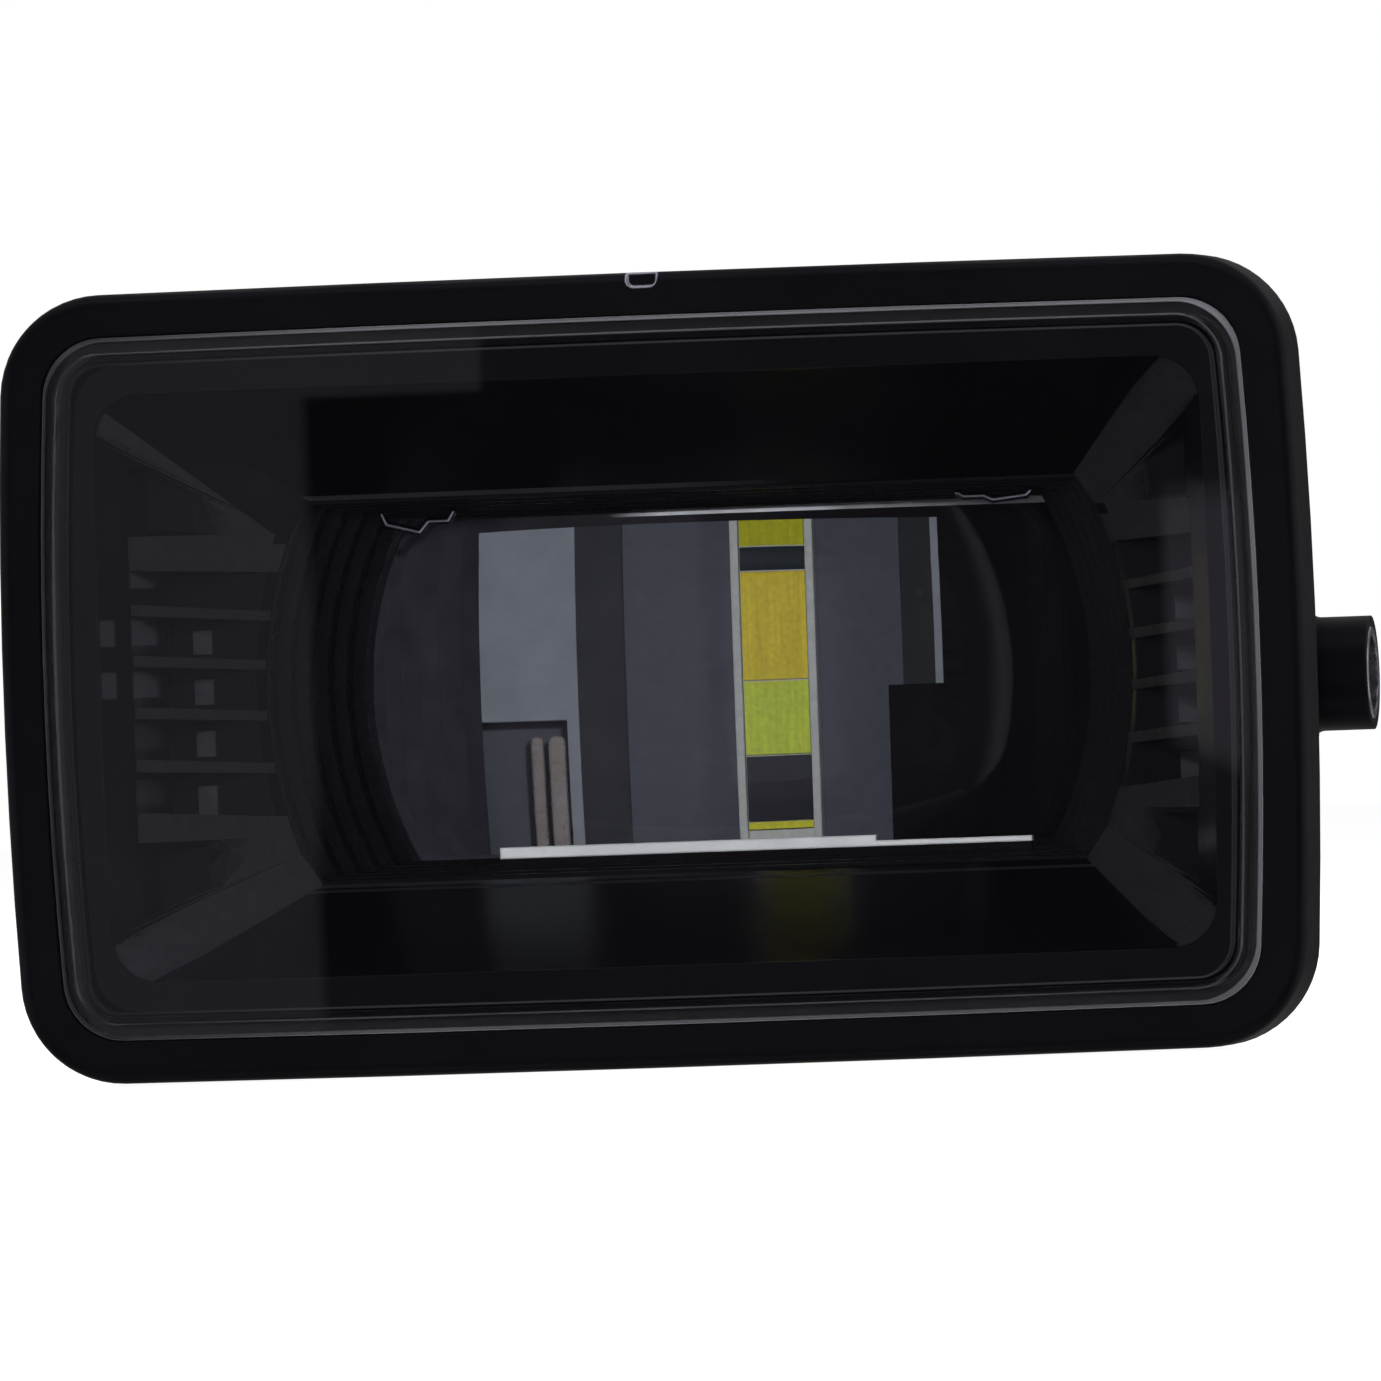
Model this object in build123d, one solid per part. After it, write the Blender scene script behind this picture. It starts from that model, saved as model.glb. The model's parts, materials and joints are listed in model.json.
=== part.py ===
from build123d import *
import math
import os

os.makedirs("parts", exist_ok=True)

# Rectangular LED projector fog lamp. Units are millimetres.
# The lamp faces -Y, +X is to a viewer's right, +Z is up.
# The origin is on the axis of the two side pivots, midway between them.

# ---- driving dimensions -------------------------------------------------------------
RIM_W = 145.6             # front face, side to side
RIM_H = 88.0              # front face, top to bottom
RIM_R = 11.5              # front face, corner radius
BOW_X = 1.5               # how far the left and right sides bow outward
BOW_Z = 0.3               # how far the top and bottom bow outward
Z_RIM = 3.1               # centre of the front face above the pivot axis
Z_OPT = 1.9               # optical axis above the pivot axis

Y_PANE = -39.4            # front of the raised pane
Y_RIM = -37.0             # front of the housing's rim
LENS_T = 2.5              # cover lens thickness
PANE_INSET = 4.8          # side of the cover lens, in from the outline
PANE_BEVEL = 1.8
TONGUE = (5.0, 6.4)       # tongue, inset of its outer and inner sides
GROOVE = (4.65, 6.7)      # groove, inset of its outer and inner sides
CORE = (1.8, 3.6)         # channel in the back of the rim
Y_SEAT_RIM = -34.2        # where the cover lens rests
Y_RIM_BACK = -24.5
MOUTH_INSET = 7.4         # housing mouth, in from the outline

WALL = 2.7                # housing wall
Y_TUB = -26.0             # where the tub begins behind the flange
Y_REAR = 50.0             # outside of the rear wall
REAR_W = 124.0            # tub at the rear wall, outside
REAR_H = 52.0
REAR_T = 2.5

PIVOT_END = 76.0          # end of each pivot tube from the middle
PIVOT_R = 6.35
PIVOT_BOSS_R = 9.8
PIVOT_BOSS_X = 69.0
SLEEVE_R = 5.3
PIVOT_BORE_R = 4.2
SLEEVE_L = 9.4

Y_BEZEL = -34.0
BEZEL_W = 130.0
BEZEL_H = 72.4
MOUTH_W = 124.4           # mouth of the funnel
MOUTH_H = 65.4
MOUTH_R = 5.0
Y_MOUTH = -33.6           # where the funnel's walls begin to slope
SKIN = 1.8
Y_OPENING = -1.0          # where the funnel meets the lens holder
OPEN_R = 49.0
OPEN_H = 21.5             # half height of the opening
OPEN_CUT = (2.4, 3.5)     # its cut corners, in X and Z
OPEN_SIDE = 45.6          # where its curved sides meet the cut corners
BEZEL_PIN_R = 1.25
BEZEL_PIN_X = 57.5
BEZEL_PIN_Z = 27.0

RECESS_X = 59.6           # outer wall of the louvre recess
Y_RECESS = -3.0           # floor of the louvre recess
PAD_X = 55.6              # small pads on that floor
POCKET_X = (47.8, 59.2)   # corner pockets, inner and outer side
POCKET_Z = (17.5, 17.9)   # their bases, above and below
Y_POCKET = -16.0
# each louvre: height of its middle and its thickness at the front, then at the floor
LOUVRES = [
    (15.1, 3.7, 14.1, 3.1),
    (9.0, 1.3, 7.7, 1.1),
    (3.3, 1.3, 2.2, 1.1),
    (-2.5, 1.4, -3.5, 1.1),
    (-8.4, 1.5, -9.4, 1.2),
    (-15.4, 3.7, -16.4, 3.1),
]

HOLDER_R = 50.8
HOLDER_H = 22.9
Y_HOLDER = -0.7
Y_SEAT = 27.2             # where the lens dome meets its flange
LENS_R = 41.0
LENS_H = 19.0             # half height of the lens dome
LENS_FLANGE_R = 43.4
LENS_FLANGE_H = 20.9
LENS_FLANGE_T = 3.0
DOME_R = 60.0
STEPS = 6                 # light-trap steps in the lens holder
TRIM_X = (-25.0, 17.8, 35.5)  # bright strip under the lens: its thick part, then its thin part
SHIELD_STEPS = 5          # steps inside the light shield
TRIM_DROP = 19.45         # underside of the strip below the optical axis
Y_SHIELD = 43.9           # back of the light shield
WINDOW_X = (-25.5, 17.5)  # window in the back of the shield
WINDOW_TOP = 14.35        # top of that window above the optical axis
CARRIER_X = 52.5          # screws that hold the optics to the rear wall
CARRIER_Z = 17.0
Y_POST = 33.0

BOARD_W = 54.0            # board that carries the light source
BOARD_H = 34.0
BOARD_T = 1.6
Y_BOARD = 48.0
CHIP_W = 7.2
CHIP_H = 29.6
CHIP_X = 1.0

SINK_W = 76.0
SINK_H = 44.0
SINK_X = 34.2             # heat sink screws
SINK_Z = 17.8
FINS = 12
FIN_PITCH = 5.2
Y_FINS = 79.0

PLUG_X = -50.0            # electrical inlet
VENT_X = 50.0
ADJ_Z = -34.6             # aiming screw axis
ADJ_R = 3.0
ADJ_HOLE_R = 3.05
ADJ_Y = 30.0              # middle of the travelling nut at rest


# ---- helpers ------------------------------------------------------------------------
def front(y):
    """Drawing plane that faces the viewer: local x is X, local y is Z."""
    return Plane(origin=(0, y, 0), x_dir=(1, 0, 0), z_dir=(0, -1, 0))


def slab(sketch, y_front, y_back):
    """Extrude a front-view sketch between two depths."""
    return extrude(front(y_back) * sketch, amount=y_back - y_front, dir=(0, -1, 0))


def between(sketch_front, y_front, sketch_back, y_back):
    """Loft from one front-view sketch to another."""
    return loft([front(y_front) * sketch_front, front(y_back) * sketch_back])


def rod(radius, y_front, y_back, x=0.0, z=0.0):
    """Round bar along Y."""
    return slab(Pos(x, z) * Circle(radius), y_front, y_back)


def cross_rod(radius, x_from, x_to, y=0.0, z=0.0):
    """Round bar along X."""
    middle = Pos((x_from + x_to) / 2, y, z)
    return middle * Rot(0, 90, 0) * Cylinder(radius, abs(x_to - x_from))


def block(x, y, z):
    """Box from three pairs of limits."""
    size = Box(abs(x[1] - x[0]), abs(y[1] - y[0]), abs(z[1] - z[0]))
    return Pos(sum(x) / 2, sum(y) / 2, sum(z) / 2) * size


def bowed(width, height, radius):
    """Rounded rectangle with bowed sides, centred on the front face."""
    x = width / 2 - BOW_X
    z = height / 2 - BOW_Z
    sides = [
        ThreePointArc((x, -z), (x + BOW_X, 0), (x, z)),
        ThreePointArc((x, z), (0, z + BOW_Z), (-x, z)),
        ThreePointArc((-x, z), (-x - BOW_X, 0), (-x, -z)),
        ThreePointArc((-x, -z), (0, -z - BOW_Z), (x, -z)),
    ]
    face = make_face(sides)
    return Pos(0, Z_RIM) * fillet(face.vertices(), radius)


def rim(inset):
    """The front outline, moved in by a distance."""
    return bowed(RIM_W - 2 * inset, RIM_H - 2 * inset, RIM_R - inset)


def rim_ring(inset_out, inset_in):
    return rim(inset_out) - rim(inset_in)


def cut_disc(radius, half_height):
    """Disc with its top and bottom cut off, centred on the optical axis."""
    disc = Circle(radius) & Rectangle(2 * radius + 2, 2 * half_height)
    return Pos(0, Z_OPT) * disc


def eight_sided(half_w, half_h, cut, bulge, z_mid, soft):
    """Rectangle with curved sides and cut corners, or round ones when soft."""
    x = half_w - bulge
    z = half_h - cut[1]
    top = x - cut[0]
    reach = math.sin(math.radians(45))

    def corner(sx, sz, rising):
        ends = [(sx * top, sz * half_h), (sx * x, sz * z)]
        if rising:
            ends.reverse()
        if not soft:
            return Line(*ends)
        middle = (sx * (top + cut[0] * reach), sz * (z + cut[1] * reach))
        return ThreePointArc(ends[0], middle, ends[1])

    edges = [
        Line((-top, half_h), (top, half_h)),
        corner(1, 1, False),
        ThreePointArc((x, z), (half_w, 0), (x, -z)),
        corner(1, -1, True),
        Line((top, -half_h), (-top, -half_h)),
        corner(-1, -1, False),
        ThreePointArc((-x, -z), (-half_w, 0), (-x, z)),
        corner(-1, 1, True),
    ]
    return Pos(0, z_mid) * make_face(edges)


def rounded(width, height, radius, x=0.0, z=0.0):
    return Pos(x, z) * RectangleRounded(width, height, radius)


def four(x, z, z_mid):
    """The four corners of a rectangular screw pattern."""
    return [(sx * x, z_mid + sz * z) for sx in (-1, 1) for sz in (-1, 1)]


def screw(x, z, y_seat, way, shank_r, shank_l, head_r, head_h):
    """Pan-head screw. way is +1 if its shank runs towards +Y from the seat."""
    def bar(radius, near, far):
        ends = sorted((y_seat + way * near, y_seat + way * far))
        return rod(radius, ends[0], ends[1], x, z)

    head = bar(head_r, 0, -head_h)
    crown = head.faces().sort_by(Axis.Y)[0 if way > 0 else -1]
    head = fillet(crown.edges(), head_h * 0.4)
    ends = sorted((y_seat - way * head_h * 0.35, y_seat - way * (head_h + 1)))
    key = slab(Pos(x, z) * RegularPolygon(head_r * 0.45, 6), ends[0], ends[1])
    return head + bar(shank_r, -0.2, shank_l) - key


# ---- clear cover lens ---------------------------------------------------------------
def cover_lens():
    """Raised clear pane with a bevelled edge and a tongue for the housing's groove."""
    pane = between(rim(PANE_INSET + PANE_BEVEL), Y_PANE, rim(PANE_INSET), Y_RIM + 0.4)
    front_edge = pane.faces().sort_by(Axis.Y)[0].outer_wire().edges()
    body = fillet(front_edge, 0.6)
    body += slab(rim(PANE_INSET), Y_RIM + 0.3, Y_SEAT_RIM - 0.1)
    body -= slab(rim(PANE_INSET + LENS_T), Y_PANE + LENS_T, Y_SEAT_RIM)
    body += slab(rim_ring(*TONGUE), Y_SEAT_RIM - 0.2, Y_SEAT_RIM + 2.8)
    return body


def lens_seal():
    low, high = GROOVE
    return slab(rim_ring(low + 0.1, high - 0.1), Y_SEAT_RIM + 3.1, Y_SEAT_RIM + 4.15)


# ---- housing ------------------------------------------------------------------------
def tub_outside():
    mouth = RIM_W - 2 * MOUTH_INSET + 2 * WALL
    tall = RIM_H - 2 * MOUTH_INSET + 2 * WALL
    near = rounded(mouth, tall, 7.5, 0, Z_RIM)
    far = rounded(REAR_W, REAR_H, 10, 0, Z_RIM)
    return between(near, Y_TUB, far, Y_REAR)


def tub_inside():
    near = rounded(RIM_W - 2 * MOUTH_INSET, RIM_H - 2 * MOUTH_INSET, 5, 0, Z_RIM)
    far = rounded(REAR_W - 2 * WALL, REAR_H - 2 * WALL, 7.3, 0, Z_RIM)
    inner = between(near, Y_TUB, far, Y_REAR)
    return inner - block((-90, 90), (Y_REAR - REAR_T, Y_REAR + 5), (-90, 90))


def pivot_tube(side):
    """Hollow pivot on the tub's side, standing on a round boss."""
    tube = cross_rod(PIVOT_R, side * 60, side * PIVOT_END)
    tube += cross_rod(PIVOT_BOSS_R, side * 60, side * PIVOT_BOSS_X)
    circles = tube.edges().filter_by(GeomType.CIRCLE)
    root = [e for e in circles if abs(abs(e.center().X) - PIVOT_BOSS_X) < 0.01]
    tube = fillet(min(root, key=lambda e: e.radius), 1.5)
    circles = tube.edges().filter_by(GeomType.CIRCLE)
    outer = [e for e in circles if abs(e.radius - PIVOT_BOSS_R) < 0.01]
    outer = [e for e in outer if abs(abs(e.center().X) - PIVOT_BOSS_X) < 0.01]
    return fillet(outer, 0.8)


def adjuster_lugs():
    lugs = block((-9, 9), (45, 49.5), (-40.2, -20))
    lugs += block((-9, 9), (10, 14), (-40.2, -26))
    for side in (-1, 1):
        inner, outer = side * 7.3, side * 9.0
        lugs += block((inner, outer), (14, 45), (-31.1, -20))
    for side in (-1, 1):
        web = Polygon((46, -22), (46, -38), (36, -27), (36, -22), align=None)
        plane = Plane(origin=(side * 9.0, 0, 0), x_dir=(0, 1, 0), z_dir=(1, 0, 0))
        lugs += extrude(plane * web, amount=1.8, dir=(-side, 0, 0))
    return lugs


def housing_rim():
    """Front rim: a frame round the cover lens, a groove for it, and a channel behind."""
    edge = slab(rim(0), Y_RIM, Y_RIM_BACK)
    edge = fillet(edge.faces().sort_by(Axis.Y)[0].edges(), 1.6)
    edge -= slab(rim(GROOVE[0]), Y_RIM - 1, Y_RIM_BACK + 1)
    lip = edge.faces().sort_by(Axis.Y)[0].inner_wires()[0].edges()
    edge = fillet(lip, 0.3)
    edge += slab(rim_ring(GROOVE[0] - 0.05, MOUTH_INSET), Y_SEAT_RIM, Y_RIM_BACK)
    edge -= slab(rim_ring(*GROOVE), Y_SEAT_RIM - 1, Y_SEAT_RIM + 4.2)
    edge -= slab(rim_ring(*CORE), Y_RIM + 2.4, Y_RIM_BACK + 1)
    # gate notch in the top edge
    top = Z_RIM + RIM_H / 2
    notch = RectangleRounded(3.3, 3.4, 0.8)
    return edge - slab(Pos(0.6, top + 0.1) * notch, Y_RIM - 1, Y_RIM + 1.1)


def housing():
    outside = tub_outside()
    inside = tub_inside()

    solid = outside
    for side in (-1, 1):
        solid += pivot_tube(side)
    solid += adjuster_lugs()
    solid -= inside
    # posts for the bezel pins, trimmed to the tub
    posts = [rod(3.0, Y_POCKET + SKIN + 0.2, 20, x, z) for x, z in four(BEZEL_PIN_X, BEZEL_PIN_Z, Z_RIM)]
    # posts for the optics carrier
    posts += [rod(3.2, Y_POST, Y_REAR - 1, x, z) for x, z in four(CARRIER_X, CARRIER_Z, Z_OPT)]
    # posts for the heat sink and driver board screws
    posts += [rod(3.0, 40, Y_REAR - 1, x, z) for x, z in four(SINK_X, SINK_Z, Z_OPT)]
    posts += [rod(2.3, 43.9, Y_REAR - 1, -34.5, Z_RIM + dz) for dz in (-9, 9)]
    for post in posts:
        solid += post & outside
    solid += housing_rim()
    # openings in the rear wall
    solid -= slab(rounded(56, 36, 2, 0, Z_OPT), Y_REAR - 9, Y_REAR + 1)
    solid -= slab(rounded(13.6, 17.6, 3, PLUG_X, Z_RIM), Y_REAR - 9, Y_REAR + 1)
    solid += rod(5.0, Y_REAR - 1, Y_REAR + 4, VENT_X, Z_RIM)
    solid -= rod(2.0, Y_REAR - 9, Y_REAR + 9, VENT_X, Z_RIM)
    # screw holes
    for x, z in four(BEZEL_PIN_X, BEZEL_PIN_Z, Z_RIM):
        solid -= rod(BEZEL_PIN_R + 0.03, -15, -4, x, z)
    for x, z in four(CARRIER_X, CARRIER_Z, Z_OPT):
        solid -= rod(1.25, Y_POST - 1, Y_POST + 11, x, z)
    for x, z in four(SINK_X, SINK_Z, Z_OPT):
        solid -= rod(1.65, 42, Y_REAR + 1, x, z)
    for dz in (-9, 9):
        solid -= rod(0.95, 43, 48.6, -34.5, Z_RIM + dz)
    # pivot bores and the aiming screw's bearings
    for side in (-1, 1):
        solid -= cross_rod(SLEEVE_R, side * (PIVOT_END - SLEEVE_L - 0.1), side * 80)
    solid -= rod(ADJ_HOLE_R, 5, 55, 0, ADJ_Z)
    return solid


def pivot_sleeve(side):
    inner = side * (PIVOT_END - SLEEVE_L)
    outer = side * (PIVOT_END + 0.1)
    sleeve = cross_rod(SLEEVE_R - 0.02, inner, outer)
    sleeve = chamfer(sleeve.edges().filter_by(GeomType.CIRCLE), 0.3)
    return sleeve - cross_rod(PIVOT_BORE_R, side * 60, side * 80)


# ---- bezel --------------------------------------------------------------------------
def funnel(grow, y_front, y_back):
    """Inside of the funnel, or its outside when grown by the skin."""
    turn = (MOUTH_R + grow, MOUTH_R + grow)
    near = eight_sided(MOUTH_W / 2 + grow, MOUTH_H / 2 + grow, turn, 0.3, Z_RIM, True)
    bulge = OPEN_R - OPEN_SIDE
    far = eight_sided(OPEN_R + grow, OPEN_H + grow, OPEN_CUT, bulge, Z_OPT, False)
    body = between(near, Y_MOUTH, far, Y_OPENING)
    if y_front < Y_MOUTH:
        body += slab(near, y_front, Y_MOUTH)
    if y_back > Y_OPENING:
        body += slab(far, Y_OPENING, y_back)
    return body


def louvre(side, spec):
    """One fin of the louvre; it falls slightly and thins towards the floor."""
    z_near, t_near, z_far, t_far = spec
    y_near, y_far = Y_MOUTH, Y_RECESS + 0.5
    outline = Polygon(
        (y_near, Z_RIM + z_near - t_near / 2),
        (y_near, Z_RIM + z_near + t_near / 2),
        (y_far, Z_RIM + z_far + t_far / 2),
        (y_far, Z_RIM + z_far - t_far / 2),
        align=None,
    )
    plane = Plane(origin=(side * 40, 0, 0), x_dir=(0, 1, 0), z_dir=(1, 0, 0))
    return extrude(plane * outline, amount=RECESS_X + 0.5 - 40, dir=(side, 0, 0))


def louvre_recess(side):
    """Space behind the side wall, between the first and the last fin."""
    top = Z_RIM + LOUVRES[0][0]
    bottom = Z_RIM + LOUVRES[-1][0]
    space = block((side * 40, side * RECESS_X), (Y_MOUTH, Y_RECESS), (bottom, top))
    for spec in LOUVRES:
        space -= louvre(side, spec)
    for above, below in zip(LOUVRES, LOUVRES[1:]):
        z = Z_RIM + (above[2] + below[2]) / 2
        tall = (above[2] - below[2]) / 4
        x = (side * (PAD_X - 1.1), side * (PAD_X + 1.1))
        space -= block(x, (Y_RECESS - 0.7, Y_RECESS + 1), (z - tall, z + tall))
    return space


def facet_edge(x, up):
    """Height above Z_RIM of the side of a corner facet."""
    near_x, near_z = MOUTH_W / 2, MOUTH_H / 2 - MOUTH_R
    far_x, far_z = OPEN_SIDE, OPEN_H - OPEN_CUT[1] + up * (Z_OPT - Z_RIM)
    share = (near_x - x) / (near_x - far_x)
    return near_z + share * (far_z - near_z)


def corner_pocket(side, up):
    """Three-sided pocket between the outer fin and the corner facet."""
    inner, outer = POCKET_X
    base = POCKET_Z[0 if up > 0 else 1]
    tip = facet_edge(outer, up) - 0.6
    near_tip = max(facet_edge(inner, up) - 0.6, base + 0.3)
    shape = Polygon(
        (side * outer, Z_RIM + up * base),
        (side * outer, Z_RIM + up * tip),
        (side * inner, Z_RIM + up * near_tip),
        (side * inner, Z_RIM + up * base),
        align=None,
    )
    return slab(shape, Y_MOUTH - 1, Y_POCKET)


def bezel():
    body = slab(bowed(BEZEL_W, BEZEL_H, 5.0), Y_BEZEL, Y_BEZEL + SKIN)
    body += funnel(SKIN, Y_BEZEL, Y_OPENING)
    back = Y_POCKET + SKIN
    for side in (-1, 1):
        outer = side * (RECESS_X + SKIN)
        low, high = Z_RIM - 18.2, Z_RIM + 17.0
        body += block((side * 46, outer), (Y_BEZEL + 1, Y_RECESS + SKIN), (low, high))
        for up in (-1, 1):
            tall = sorted((Z_RIM + up * 17.0, Z_RIM + up * 27.0))
            body += block((side * 46, side * 61.0), (Y_BEZEL + 1, back), tall)
    posts = four(BEZEL_PIN_X, BEZEL_PIN_Z, Z_RIM)
    for x, z in posts:
        body += rod(3.2, Y_BEZEL + 1, back, x, z)
    body -= funnel(0, Y_BEZEL - 2, Y_OPENING + 1)
    for side in (-1, 1):
        body -= louvre_recess(side)
        for up in (-1, 1):
            body -= corner_pocket(side, up)
    # pins that press into the housing's posts
    for x, z in posts:
        pin = rod(BEZEL_PIN_R, back - 0.6, -5.0, x, z)
        body += chamfer(pin.faces().sort_by(Axis.Y)[-1].edges(), 0.4)
    return body


# ---- projector optics ---------------------------------------------------------------
def lens_holder():
    body = slab(cut_disc(HOLDER_R, HOLDER_H), Y_HOLDER, Y_SEAT + 3.3)
    body += slab(rounded(112, 45.8, 4, 0, Z_OPT), Y_SEAT + 1.3, Y_SEAT + 3.3)
    depth = (Y_SEAT - 1.5 - Y_HOLDER) / STEPS
    for i in range(STEPS):
        part = i / (STEPS - 1)
        radius = OPEN_R - 0.4 - part * (OPEN_R - 0.8 - LENS_R)
        height = OPEN_H - 0.4 - part * (OPEN_H - 0.8 - LENS_H)
        start = Y_HOLDER + i * depth
        body -= slab(cut_disc(radius, height), start - 0.01, start + depth)
    body -= slab(cut_disc(LENS_R + 0.4, LENS_H + 0.4), 10, Y_SEAT + 1)
    body -= slab(cut_disc(LENS_FLANGE_R + 0.3, LENS_FLANGE_H + 0.3), Y_SEAT, 40)
    # ledge that carries the bright strip
    ledge = block((TRIM_X[0], TRIM_X[2]), (10.9, 12.4), (Z_OPT - OPEN_H, Z_OPT - TRIM_DROP - 0.03))
    body += ledge
    for x, z in four(CARRIER_X, CARRIER_Z, Z_OPT):
        body -= rod(1.7, 20, 40, x, z)
        body -= rod(3.0, Y_HOLDER - 1, Y_SEAT + 1.6, x, z)
    return body


def projector_lens():
    apex = Y_SEAT - (DOME_R - math.sqrt(DOME_R ** 2 - LENS_R ** 2))
    ball = Pos(0, apex + DOME_R, Z_OPT) * Sphere(DOME_R)
    dome = slab(cut_disc(LENS_R, LENS_H), apex - 1, Y_SEAT + 0.5) & ball
    flange = slab(cut_disc(LENS_FLANGE_R, LENS_FLANGE_H), Y_SEAT + 0.15, Y_SEAT + 3.15)
    return dome + flange


def lens_trim():
    """Bright strip that lies in the holder, under the lens."""
    left, middle, right = TRIM_X
    foot = Z_OPT - TRIM_DROP
    bar = block((left, middle), (10.9, 12.4), (foot, foot + 1.3))
    bar += block((middle - 0.1, right), (10.9, 12.4), (foot, foot + 0.65))
    return chamfer(bar.faces().sort_by(Axis.Y)[0].edges(), 0.15)


def lens_clips():
    """Bent spring wires under the holder's upper wall, one at each side."""
    clips = []
    bends = [(36.9, 19.9), (36.4, 18.7), (32.6, 17.7), (31.6, 18.9), (29.3, 18.9), (28.7, 19.9)]
    for side, sag in ((-1, 1.0), (1, 0.4)):
        points = [(side * x, 9.6, Z_OPT + 19.9 - sag * (19.9 - z)) for x, z in bends]
        wire = Pos(*points[0]) * Sphere(0.42)
        for start, end in zip(points, points[1:]):
            path = Line(start, end)
            wire += sweep(Plane(origin=start, z_dir=path % 0) * Circle(0.42), path=path)
            wire += Pos(*end) * Sphere(0.42)
        clips.append(wire)
    return clips


def light_shield():
    """Black stepped box between the lens and the light source."""
    near = Y_SEAT + 3.6
    body = slab(rounded(112, 45.8, 4, 0, Z_OPT), near, near + 2.0)
    body += between(rounded(83, 40, 9.5, 0, Z_OPT), near, rounded(58, 36.4, 6, 0, Z_OPT), Y_SHIELD)
    depth = (Y_SHIELD - 1.5 - near) / SHIELD_STEPS
    for i in range(SHIELD_STEPS):
        part = i / (SHIELD_STEPS - 1)
        step = rounded(78 - part * 23, 36.6 - part * 3.2, 7 - part * 3, 0, Z_OPT)
        start = near + i * depth
        body -= slab(step, start - 0.01, start + depth)
    low, high = WINDOW_X
    body -= block((low, high), (40, 50), (Z_OPT - 1.1, Z_OPT + WINDOW_TOP))
    body -= block((low, 12.3), (40, 50), (Z_OPT - 16.5, Z_OPT))
    for x, z in four(CARRIER_X, CARRIER_Z, Z_OPT):
        body -= rod(1.7, 20, 40, x, z)
    return body


def reflector():
    """Light grey tray round the light source, cut away where the leads rise."""
    front_y, back_y = Y_SHIELD + 0.1, Y_BOARD - 0.4
    body = slab(rounded(56, 35, 3, 0, Z_OPT), front_y, front_y + 1.2)
    outer = rounded(35, 34.4, 2, 0, Z_OPT)
    body += between(outer, front_y + 1, rounded(26.4, 34.4, 2, 0, Z_OPT), back_y)
    inner = rounded(32.4, 32.6, 1, 0, Z_OPT)
    body -= between(inner, front_y - 0.01, rounded(24, 32.6, 1, 0, Z_OPT), back_y + 0.01)
    return body - block((-40, -17.3), (40, 46.2), (Z_OPT - 20, Z_OPT - 3.2))


def carrier_screws():
    spots = four(CARRIER_X, CARRIER_Z, Z_OPT)
    return [screw(x, z, Y_SEAT + 1.55, 1, 1.2, 13.5, 2.7, 1.9) for x, z in spots]


# ---- light source -------------------------------------------------------------------
def led_board():
    board = slab(rounded(BOARD_W, BOARD_H, 1.5, 0, Z_OPT), Y_BOARD, Y_BOARD + BOARD_T)
    for side in (-1, 1):
        board -= rod(1.7, 40, 52, side * 22.5, Z_OPT)
    return board


def led_package():
    frame = rounded(CHIP_W, CHIP_H, 0.4, CHIP_X, Z_OPT)
    body = slab(frame, Y_BOARD - 1.1, Y_BOARD - 0.05)
    hollow = rounded(CHIP_W - 1.4, CHIP_H - 1.0, 0.3, CHIP_X, Z_OPT)
    return body - slab(hollow, 40, Y_BOARD - 0.4)


def led_phosphor():
    """Six tiles in a column; the middle ones are the tall ones."""
    heights = (2.5, 2.0, 9.3, 6.3, 5.6, 0.6)
    tiles = []
    top = Z_OPT + CHIP_H / 2 - 0.9
    for height in heights:
        tile = Pos(CHIP_X, top - height / 2) * Rectangle(CHIP_W - 1.6, height)
        tiles.append(slab(tile, Y_BOARD - 0.85, Y_BOARD - 0.45))
        top -= height + 0.15
    return tiles


def led_leads():
    """Two supply leads that stand on the light-source board."""
    leads = []
    for x, width in ((-20.1, 1.2), (-18.3, 1.6)):
        lead = block((x - width / 2, x + width / 2), (45.2, Y_BOARD - 0.05), (-15.0, -2.6))
        leads.append(fillet(lead.edges().filter_by(Axis.Y), width * 0.4))
    return leads


def board_screws():
    light = [screw(x, Z_OPT, Y_BOARD - 0.05, 1, 1.4, 7.0, 2.6, 1.8) for x in (-22.5, 22.5)]
    driver = [screw(-34.5, Z_RIM + dz, 41.95, 1, 0.9, 6.0, 1.9, 1.3) for dz in (-9, 9)]
    return light + driver


def thermal_pad():
    pad = slab(rounded(50, 30, 1, 0, Z_OPT), Y_BOARD + BOARD_T + 0.05, 50.2)
    for side in (-1, 1):
        pad -= rod(2.2, 40, 60, side * 22.5, Z_OPT)
    return pad


# ---- heat sink ----------------------------------------------------------------------
def heat_sink():
    base = slab(rounded(SINK_W, SINK_H, 4, 0, Z_OPT), 51.0, 56.0)
    base += slab(rounded(54, 34, 1.5, 0, Z_OPT), 50.25, 51.5)
    for i in range(FINS):
        x = (i - (FINS - 1) / 2) * FIN_PITCH
        foot = Pos(x, Z_OPT) * Rectangle(2.2, SINK_H - 2)
        tip = Pos(x, Z_OPT) * Rectangle(1.3, SINK_H - 6)
        base += between(foot, 55.5, tip, Y_FINS)
    for x, z in four(SINK_X, SINK_Z, Z_OPT):
        base -= rod(2.25, 40, 90, x, z)
        base -= rod(4.3, 56.0, 90, x, z)
    for side in (-1, 1):
        base -= rod(1.45, 49, 55, side * 22.5, Z_OPT)
    return base


def heat_sink_gasket():
    ring = rounded(SINK_W - 2, SINK_H - 2, 3.5, 0, Z_OPT) - rounded(58, 37, 2.5, 0, Z_OPT)
    gasket = slab(ring, Y_REAR + 0.05, 50.95)
    for x, z in four(SINK_X, SINK_Z, Z_OPT):
        gasket -= rod(2.25, 40, 60, x, z)
    return gasket


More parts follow.
